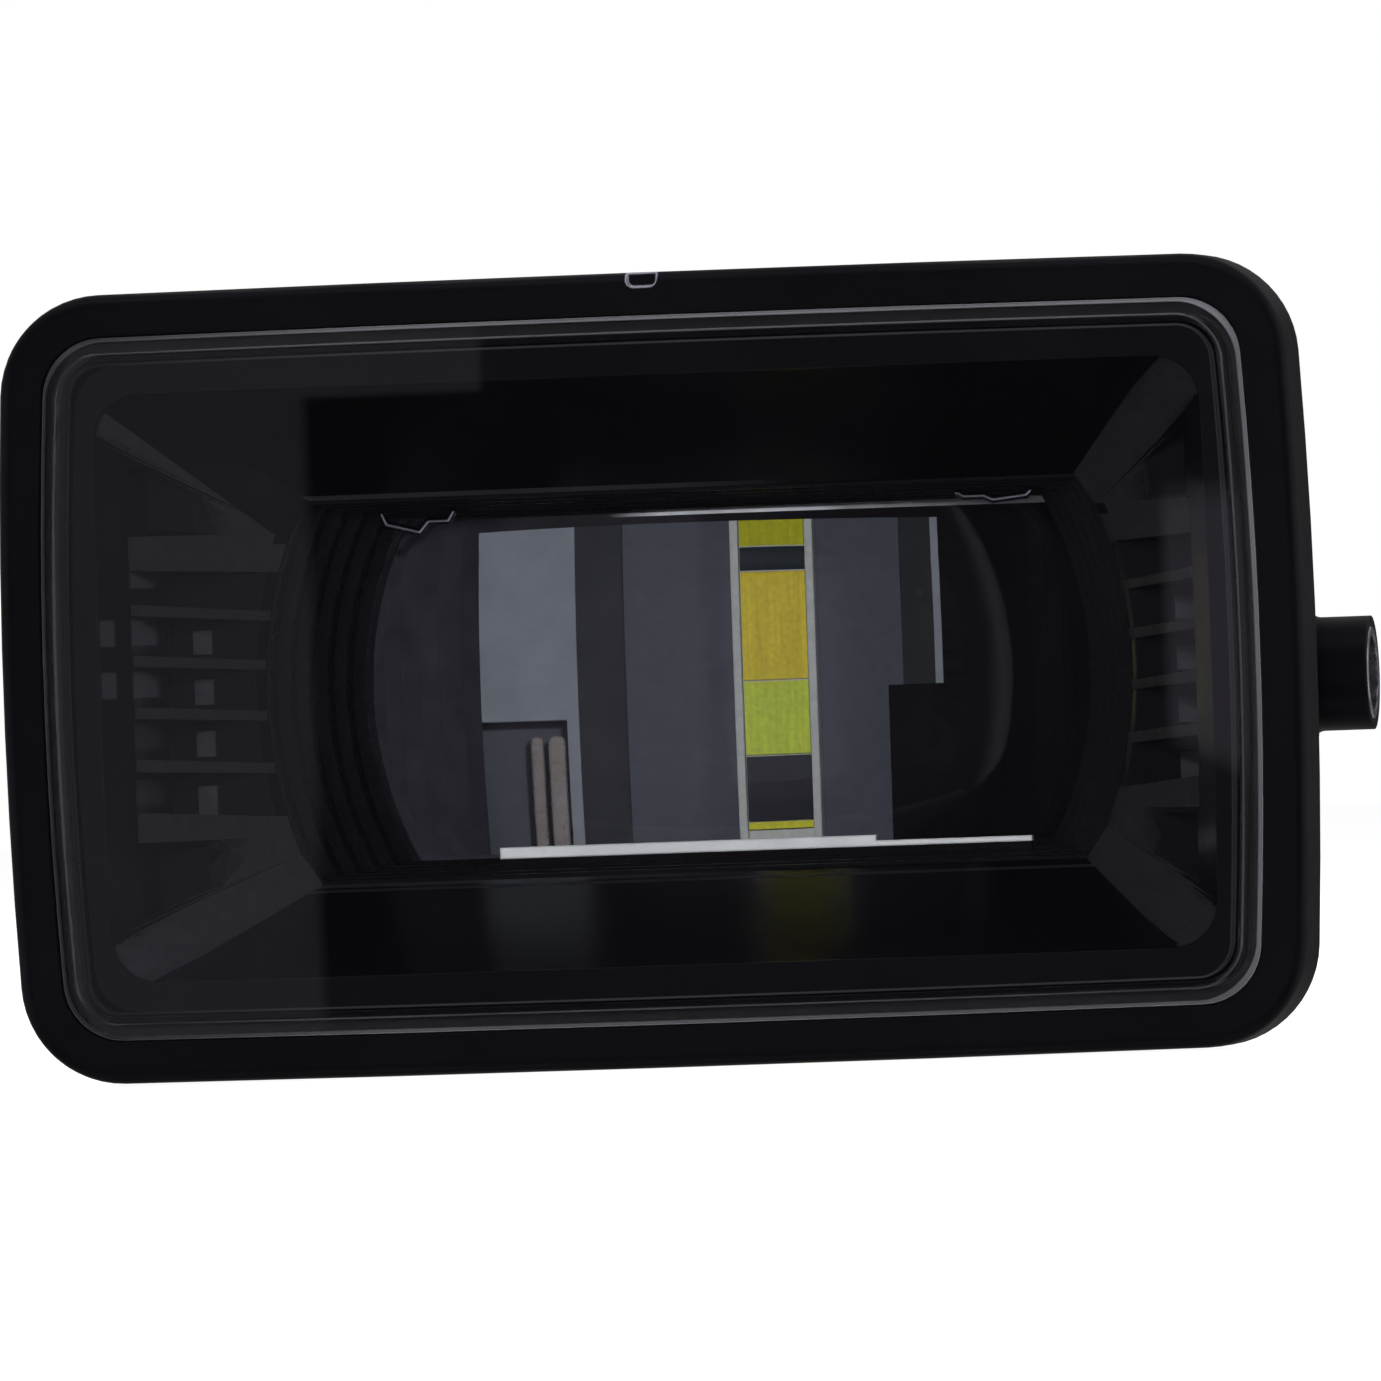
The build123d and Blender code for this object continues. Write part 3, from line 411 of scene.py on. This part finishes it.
def matt(name, dark, light, rough, scale, depth, edge_radius=0.3 * MM):
    """Plain matt stuff such as rubber, ceramic, board or fabric membrane."""
    g = Graph(name)
    rounded = g.bevel(edge_radius)
    mottle = g.noise(scale, 4.0, 0.6)
    colour = g.blend(g.span(mottle, 0.3, 0.7), dark, light)
    roughness = g.span(g.noise(scale * 0.5, 4.0), 0.3, 0.7, rough[0], rough[1])
    normal = g.bump(g.noise(scale * 2.5, 2.0), depth, rounded)
    return g.surface(g.principled(color=colour, rough=roughness, normal=normal))


def painted_side_shading(name, open_colours, painted_side_colours, rough, scale, one_side=False, left=1.0):
    """Matt plastic whose steep sides, seen by their normal along x, have a second colour: painted shade where
    it is darker, painted light where it is lighter.

    With one_side only the sides that face right have it. Towards the left end the first colour
    is lighter by the factor left, a painted light.
    """
    g = Graph(name)
    nx = g.axes(g.geometry.outputs["True Normal"])[0]
    painted_side_mask = g.span(nx if one_side else g.absolute(nx), 0.25, 0.4)
    mottle = g.span(g.noise(scale, 4.0, 0.6), 0.3, 0.7)
    light = g.span(g.axes(g.place)[0], -30 * MM, -18 * MM, left, 1.0)
    mixed = g.blend(mottle, *open_colours)
    plain = g.node("VectorMath", {0: mixed, "Scale": light}, operation="SCALE").outputs[0]
    colour = g.blend(painted_side_mask, plain, g.blend(mottle, *painted_side_colours))
    roughness = g.span(g.noise(scale * 0.5, 4.0), 0.3, 0.7, *rough)
    normal = g.bump(g.noise(scale * 2.5, 2.0), 8.0e-6, g.bevel(0.2 * MM))
    return g.surface(g.principled(color=colour, rough=roughness, normal=normal, specular=0.3))


TILES = [                 # heights in mm from the top down, and each tile's colour
    (2.5, (0.52, 0.51, 0.02)), (2.0, (0.016, 0.024, 0.026)), (9.3, (0.82, 0.64, 0.045)),
    (6.3, (0.66, 0.75, 0.075)), (5.6, (0.026, 0.027, 0.034)), (0.6, (0.75, 0.72, 0.05))]
TILE_GAP = 0.15           # in mm, between one tile and the next


def phosphor():
    """Column of phosphor tiles, each its own tone, with printed grain."""
    g = Graph("phosphor")
    low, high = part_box("led_phosphor")
    z = g.axes(g.place)[2]
    down = g.span(z, high.z, low.z)
    ramp = g.node("ValToRGB", {"Fac": down})
    bar = ramp.color_ramp
    bar.interpolation = "CONSTANT"
    passed = 0.0
    for i, (height, colour) in enumerate(TILES):
        stop = bar.elements[i] if i < 2 else bar.elements.new(0.99)
        stop.position = max(0.0, passed - TILE_GAP / 2) / ((high.z - low.z) / MM)
        stop.color = (*colour, 1)
        passed += height + TILE_GAP
    grain = g.span(g.noise(2600.0, 3.0), 0.3, 0.7, 0.86, 1.06)
    brushed = g.span(g.noise(1.0, 3.0, 0.6, g.stretch((2400.0, 1.0, 90.0))), 0.3, 0.7, 0.85, 1.1)
    shade = g.times(grain, brushed)
    tinted = g.node("VectorMath", {0: ramp.outputs[0], 1: shade}, operation="MULTIPLY").outputs[0]
    normal = g.bump(g.noise(4200.0, 2.0), 1.2e-5)
    return g.surface(g.principled(color=tinted, rough=0.55, normal=normal))


def satin_materials():
    """The housing, the lens holder, the inlet, the vent cap and the travelling nut."""
    return {
        "housing_plastic": satin_plastic(
            "housing_plastic", (0.0022, 0.0020, 0.0028), (0.0036, 0.0033, 0.0045),
            specular=0.17, gate_top=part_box("housing")[1].z),
        # its small edge tint is a painted highlight along the steps' edges
        "holder_plastic": satin_plastic(
            "holder_plastic", (0.0016, 0.0015, 0.0021), (0.0030, 0.0029, 0.0036),
            rough=(0.22, 0.36), edge_radius=0.2 * MM, edge_tint=0.09, specular=0.25),
        "connector_plastic": satin_plastic(
            "connector_plastic", (0.009, 0.009, 0.0095), (0.015, 0.015, 0.016),
            rough=(0.42, 0.6), grain=3400.0),
        "cap_plastic": satin_plastic(
            "cap_plastic", (0.012, 0.012, 0.0125), (0.02, 0.02, 0.021), rough=(0.5, 0.68)),
        "nylon": satin_plastic("nylon", (0.50, 0.48, 0.42), (0.60, 0.58, 0.51), rough=(0.34, 0.48)),
    }


def optic_materials():
    """What is seen through the lens: tray, shield, board, package, tiles and strip."""
    return {
        "board_metal": matt(
            "board_metal", (0.066, 0.071, 0.090), (0.082, 0.088, 0.111), (0.35, 0.5), 900.0, 8e-6),
        "ceramic": matt("ceramic", (0.50, 0.51, 0.50), (0.62, 0.63, 0.61), (0.4, 0.55), 1800.0, 6e-6),
        "phosphor": phosphor(),
        # painted shade: the reflector's steep sides darker
        "reflector_grey": painted_side_shading(
            "reflector_grey", [(0.235, 0.25, 0.29), (0.285, 0.30, 0.345)],
            [(0.026, 0.028, 0.033), (0.038, 0.040, 0.046)], (0.3, 0.45), 260.0),
        # painted light: the shield's sides that face right lighter, and its left end lighter
        "shield_plastic": painted_side_shading(
            "shield_plastic", [(0.002, 0.0019, 0.0026), (0.0032, 0.003, 0.004)],
            [(0.03, 0.031, 0.036), (0.045, 0.046, 0.052)], (0.3, 0.45), 300.0, one_side=True, left=15.0),
        # painted reflection: this white strip stands in for the bright band along the lens's bottom cut face
        "trim_white": matt(
            "trim_white", (0.72, 0.73, 0.75), (0.84, 0.85, 0.86), (0.25, 0.4), 260.0, 6e-6, 0.2 * MM),
    }


# darkest and lightest colour, roughness from and to, grain per metre, bump depth in metres
METALS = {
    "sleeve_steel": ((0.50, 0.50, 0.51), (0.66, 0.66, 0.67), (0.2, 0.34), 4000.0, 1e-6),
    "zinc_screw": ((0.48, 0.49, 0.50), (0.66, 0.67, 0.68), (0.22, 0.38), 700.0, 6e-6),
    "spring_steel": ((0.10, 0.10, 0.11), (0.2, 0.2, 0.21), (0.3, 0.45), 600.0, 8e-6),
    "cast_aluminium": ((0.44, 0.45, 0.46), (0.60, 0.61, 0.62), (0.38, 0.62), 850.0, 3.2e-5),
    "clip_wire": ((0.62, 0.63, 0.65), (0.80, 0.81, 0.82), (0.12, 0.22), 900.0, 3e-6),
    "capacitor_can": ((0.5, 0.5, 0.52), (0.65, 0.65, 0.67), (0.2, 0.3), 500.0, 8e-6),
    "tinned_brass": ((0.60, 0.56, 0.42), (0.74, 0.71, 0.6), (0.2, 0.32), 600.0, 8e-6),
}
MATTS = {
    "seal_rubber": ((0.012, 0.012, 0.012), (0.02, 0.02, 0.02), (0.6, 0.8), 500.0, 2e-5),
    "thermal_pad": ((0.32, 0.37, 0.42), (0.40, 0.45, 0.5), (0.6, 0.8), 500.0, 2e-5),
    "circuit_board": ((0.012, 0.06, 0.03), (0.02, 0.09, 0.045), (0.3, 0.4), 600.0, 1e-5),
    "ferrite": ((0.03, 0.03, 0.03), (0.05, 0.05, 0.05), (0.6, 0.8), 500.0, 2e-5),
    "chip_plastic": ((0.012, 0.012, 0.012), (0.022, 0.022, 0.022), (0.6, 0.8), 500.0, 2e-5),
    "flex_strip": ((0.28, 0.12, 0.02), (0.36, 0.17, 0.03), (0.25, 0.4), 400.0, 6e-6),
    "membrane": ((0.62, 0.62, 0.62), (0.74, 0.74, 0.74), (0.8, 0.9), 2400.0, 2e-5),
}
MATERIALS = {
    "bezel_plastic": bezel_plastic(),
    "clear_cover": clear_cover(),
    "optic_clear": lens_glass(),
    **satin_materials(), **optic_materials(),
    **{name: metal(name, *look) for name, look in METALS.items()},
    **{name: matt(name, *look) for name, look in MATTS.items()},
}


def dress(ob, slot):
    ob.data.materials.clear()
    ob.data.materials.append(MATERIALS[slot])


for part in frame["record"]["subparts"]:
    dress(nodes[part["node"]], part["material_slot"])


# ---- mesh helpers -------------------------------------------------------------------
SHARP_ANGLE = 30.0        # degrees; edges turning by more than this stay sharp


def to_object(name, verts, faces, slot, body, stands_for):
    mesh = bpy.data.meshes.new(name)
    mesh.from_pydata(verts, [], faces)
    mesh.update()
    fixer = bmesh.new()
    fixer.from_mesh(mesh)
    bmesh.ops.recalc_face_normals(fixer, faces=fixer.faces)
    fixer.to_mesh(mesh)
    fixer.free()
    mesh.shade_smooth()
    mesh.set_sharp_from_angle(angle=math.radians(SHARP_ANGLE))
    ob = bpy.data.objects.new(name, mesh)
    scene.collection.objects.link(ob)
    ob.data.materials.append(MATERIALS[slot])
    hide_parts(*stands_for)
    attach(ob, body)


def cut_disc_outline(radius, half_height, count=240):
    """Points (x, z) round a disc with its top and bottom cut off."""
    points = []
    for i in range(count):
        angle = 2 * math.pi * i / count
        x, z = radius * math.cos(angle), radius * math.sin(angle)
        if abs(z) > half_height:
            x, z = x * half_height / abs(z), math.copysign(half_height, z)
        points.append((x, z))
    return points


def projector_lens():
    """The lens as a fine smooth mesh, so that it bends light cleanly."""
    apex = Y_SEAT - (DOME_R - math.sqrt(DOME_R ** 2 - LENS_R ** 2))
    rim = cut_disc_outline(LENS_R, LENS_HALF)
    flange = cut_disc_outline(*FLANGE)
    count, rings = len(rim), 56
    verts, faces = [(0.0, apex, Z_OPT)], []

    def dome_y(x, z):
        return apex + DOME_R - math.sqrt(DOME_R ** 2 - x * x - z * z)

    for r in range(1, rings + 1):
        share = r / rings
        for x, z in rim:
            verts.append((x * share, dome_y(x * share, z * share), Z_OPT + z * share))
    front, back = Y_SEAT + FLANGE_FRONT, Y_SEAT + FLANGE_BACK
    for outline, y in ((rim, front), (flange, front), (flange, back)):
        verts += [(x, y, Z_OPT + z) for x, z in outline]
    loops = rings + 3
    for i in range(count):
        j = (i + 1) % count
        faces.append((0, 1 + i, 1 + j))
        for r in range(loops - 1):
            a, b = 1 + r * count, 1 + (r + 1) * count
            faces.append((a + i, b + i, b + j, a + j))
    last = 1 + (loops - 1) * count
    faces.append(tuple(last + i for i in range(count)))
    to_object("projector_lens_fine", verts, faces, "optic_clear", "lamp", ["projector_lens"])


projector_lens()


# ---- floor, light and camera --------------------------------------------------------
FLOOR_WIDTH = 9.0


def plane(name, width, place):
    """A level square that faces up."""
    mesh = bpy.data.meshes.new(name)
    h = width / 2
    mesh.from_pydata([(-h, -h, 0), (h, -h, 0), (h, h, 0), (-h, h, 0)], [], [(0, 1, 2, 3)])
    ob = bpy.data.objects.new(name, mesh)
    scene.collection.objects.link(ob)
    ob.rotation_mode = "QUATERNION"
    ob.rotation_quaternion = Vector((0, 0, 1)).to_track_quat("Z", "Y")
    ob.location = place
    return ob


def floor():
    """A pale floor that only the camera sees, so that it lights nothing and shows in no glass."""
    g = Graph("floor_paint")
    tone = g.span(g.noise(9.0, 3.0), 0.3, 0.7, 0.20, 0.22)
    paint = g.node("CombineColor", {0: tone, 1: tone, 2: tone}).outputs[0]
    shader = g.principled(color=paint, rough=0.8, emission=(1, 1, 1), glow=0.93, specular=0.0)
    ob = plane("floor", FLOOR_WIDTH, (0, 0, cad_box[0].z - 0.05 * MM))
    ob.data.materials.append(g.surface(shader))
    ob.visible_glossy = False
    ob.visible_diffuse = False
    ob.visible_transmission = False


def area(name, place, aim, size, power):
    """A soft lamp that lights the object but shows in no glass and no polished face."""
    data = bpy.data.lights.new(name, "AREA")
    data.shape = "RECTANGLE"
    data.size, data.size_y = size
    data.energy = power
    ob = bpy.data.objects.new(name, data)
    scene.collection.objects.link(ob)
    ob.location = place
    ob.rotation_mode = "QUATERNION"
    ob.rotation_quaternion = (Vector(aim) - Vector(place)).to_track_quat("-Z", "Y")
    ob.visible_camera = False
    ob.visible_glossy = False
    ob.visible_transmission = False


# how bright each part of the room is
ROOM = 0.022              # dim grey all round
WINDOW = 0.12             # a wide window that the domed lens mirrors
WINDOW_LEFT = 0.6         # its far left
WINDOW_MIDDLE = 0.25      # added to its middle
BEYOND = 0.16             # a strip past its right end
PATCH_GLOW = 0.20         # the pale patch
HIGH, LOW, SIDE = 0.9, 0.7, 0.9    # the soft boxes
REAR = 0.28               # the room behind the lamp
# where they lie, azimuth 0 being straight ahead of the lamp
WINDOW_ENDS = (-97.0, 74.0)
WINDOW_TOP = [            # its upper edge: azimuth and elevation in degrees
    (-100, 2.0), (-91, 4.0), (-80, 7.0), (-70, 10.0), (-44, 16.0), (-26, 20.0), (7, 22.7), (35, 22.7),
    (66, 20.0), (74, 15.5)]
WINDOW_FOOT = [(-100, -13.0), (-83, -17.0), (-57, -24.0), (-30, -30.0), (40, -30.0), (74, -24.0)]
CURVE_FROM, CURVE_TO = -100.0, 80.0    # azimuths at the two ends of an edge curve
CURVE_HALF = 40.0         # an edge curve holds elevations up to this, either way
# seen by slope, sideways over ahead, and rise, up over ahead
DOOR = (-0.1662, -0.1100, -0.0300, 0.0400)    # left, right, foot and top of the dark doorway
DOOR_CUT = (-0.1579, 0.0131)                  # its top left is cut away beyond this corner
PATCH = (-0.1290, -0.1240, 0.0084)            # left, right and top of the pale patch
PATCH_FOOT = (-0.1281, -0.0030, -0.5)         # slope, rise and fall of its slanting foot


def edge_curve(g, azimuth, stops):
    """A window edge's elevation in degrees, read from its stops by azimuth."""
    ramp = g.node("ValToRGB", {"Fac": g.span(azimuth, CURVE_FROM, CURVE_TO)})
    bar = ramp.color_ramp
    for i, (at, value) in enumerate(stops):
        position = (at - CURVE_FROM) / (CURVE_TO - CURVE_FROM)
        stop = bar.elements[i] if i < 2 else bar.elements.new(position)
        stop.position = position
        stop.color = (*[(value + CURVE_HALF) / (2 * CURVE_HALF)] * 3, 1.0)
    return g.minus(g.times(ramp.outputs[0], 2 * CURVE_HALF), CURVE_HALF)


def doorway(g, slope, rise):
    """A dark doorway in the window, and a pale patch in it, which the flat cover mirrors."""
    left, right, foot, top = DOOR
    shut = g.times(g.span(slope, left, left + 0.0006), g.span(rise, foot, foot + 0.002),
                   g.span(slope, right, right - 0.0005), g.span(g.absolute(rise), top, top - 0.002))
    across, up = DOOR_CUT
    cut = g.times(g.span(rise, up, up + 0.0003), g.span(slope, across, across - 0.0004))
    shut = g.times(shut, g.minus(1.0, cut))
    left, right, top = PATCH
    at, level, fall = PATCH_FOOT
    foot = g.plus(level, g.times(g.minus(slope, at), fall))
    patch = g.times(g.span(slope, left, left + 0.0006), g.span(slope, right, right - 0.0004),
                    g.span(g.minus(rise, foot), -0.0006, 0.0006), g.span(rise, top, top - 0.0014))
    return shut, patch


def window_light(g, azimuth, elevation):
    """The window, bright on the left, dim where the flat cover mirrors it and faint on the right."""
    top = edge_curve(g, azimuth, WINDOW_TOP)
    foot = edge_curve(g, azimuth, WINDOW_FOOT)
    left, right = WINDOW_ENDS
    pane = g.times(g.span(azimuth, left, left + 4.0), g.span(azimuth, right, right - 1.0),
                   g.span(g.minus(top, elevation), 0.0, 0.8), g.span(g.minus(elevation, foot), 0.0, 0.8))
    dimmed = g.span(g.absolute(g.plus(azimuth, 31.0)), 12.0, 18.0, 0.4, 1.0)
    bright = g.times(g.span(azimuth, -42.0, -50.0, WINDOW, WINDOW_LEFT), dimmed,
                     g.span(azimuth, 0.0, 30.0, 1.0, 0.1))
    centre = g.times(g.span(azimuth, -6.3, -5.0), g.span(azimuth, 24.0, 18.0), WINDOW_MIDDLE)
    return g.times(pane, g.plus(bright, centre))


def studio():
    """The room as polished faces mirror it, by direction; the camera itself sees plain white."""
    world = bpy.data.worlds.new("studio")
    scene.world = world
    g = Graph("studio", world)
    x, y, z = g.axes(g.node("TexCoord").outputs["Generated"])[:3]
    ahead = g.times(y, -1.0)
    azimuth = g.math("DEGREES", g.math("ARCTAN2", x, ahead))
    elevation = g.math("DEGREES", g.math("ARCSINE", z))
    shut, patch = doorway(g, g.math("DIVIDE", x, ahead), g.math("DIVIDE", z, ahead))
    beyond = g.times(g.span(azimuth, 70.0, 72.0), g.span(azimuth, 83.0, 82.0),
                     g.span(g.absolute(elevation), 28.0, 24.0), BEYOND)
    glow = g.times(g.plus(window_light(g, azimuth, elevation), beyond), g.minus(1.0, shut))
    glow = g.plus(glow, g.times(patch, PATCH_GLOW))
    # soft boxes high above, low below and on the right, which draw thin lines along rounded edges
    high = g.times(g.span(elevation, 52.0, 56.0), g.span(elevation, 74.0, 70.0), HIGH)
    low = g.times(g.span(elevation, -52.0, -56.0), g.span(elevation, -74.0, -70.0), LOW)
    side = g.times(g.span(azimuth, 84.0, 86.0), g.span(azimuth, 104.0, 102.0),
                   g.span(g.absolute(elevation), 40.0, 36.0), SIDE)
    glow = g.plus(glow, g.times(g.plus(high, low), g.span(ahead, 0.0, 0.1)))
    glow = g.plus(glow, side)
    # a lighter room behind the lamp, for the heat sink and the housing's back, dark straight behind
    off = g.largest(g.span(g.absolute(x), 0.40, 0.66, 0.15, 1.0), g.span(g.absolute(z), 0.14, 0.30))
    glow = g.plus(glow, g.times(g.span(ahead, -0.10, -0.55, 0.0, REAR), off))
    glow = g.plus(glow, ROOM)
    seen = g.node("Background", {"Color": (1, 1, 1), "Strength": 1.0}).outputs[0]
    tint = g.blend(g.span(ahead, 0.0, -0.3), (0.87, 0.80, 1.0), (0.96, 0.96, 0.98))
    room = g.node("Background", {"Color": tint, "Strength": glow}).outputs[0]
    camera_ray = g.node("LightPath").outputs["Is Camera Ray"]
    g.surface(g.node("MixShader", {0: camera_ray, 1: room, 2: seen}).outputs[0])


floor()
studio()
area("key", (0.30, -2.15, 0.30), (0, 0.02, 0), (0.14, 0.10), 24.0)
area("front_fill", (0.25, -2.3, 0.10), (0, 0, 0), (1.6, 0.7), 14.0)
area("overhead", (0.0, 0.2, 1.7), (0, 0, 0), (1.6, 1.2), 32.0)
area("left_window", (-1.8, 0.5, 0.7), (0, 0, 0), (0.9, 1.2), 26.0)
area("right_window", (1.9, 0.5, 0.6), (0, 0, 0), (0.7, 1.2), 28.0)
area("rear_fill", (0.3, 1.7, 1.2), (0, 0, 0), (1.4, 0.9), 26.0)

AZIMUTH, ROLL = 8.5, 2.05             # in degrees
DISTANCE, FRAME_WIDTH = 2.6, 0.15276  # in metres, to the target, and the width in view there
Y_AIM = -34.0 * MM                    # depth of the target
AIM = (4.03 * MM, -2.41 * MM)         # where it lies from the rim's middle, to the right and up
SENSOR = 36.0                         # in mm


def camera():
    data = bpy.data.cameras.new("camera")
    data.sensor_width = SENSOR
    data.lens = SENSOR * DISTANCE / FRAME_WIDTH
    data.clip_start, data.clip_end = 0.05, 30.0
    cam = bpy.data.objects.new("camera", data)
    scene.collection.objects.link(cam)
    scene.camera = cam
    a = math.radians(AZIMUTH)
    back = Vector((math.sin(a), -math.cos(a), 0.0))
    right = Vector((math.cos(a), math.sin(a), 0.0))
    target = Vector((0.0, Y_AIM, Z_RIM + AIM[1])) + right * AIM[0]
    cam.location = target + back * DISTANCE
    cam.rotation_mode = "QUATERNION"
    turn = Quaternion((0, 0, 1), math.radians(-ROLL))
    cam.rotation_quaternion = (-back).to_track_quat("-Z", "Y") @ turn


camera()
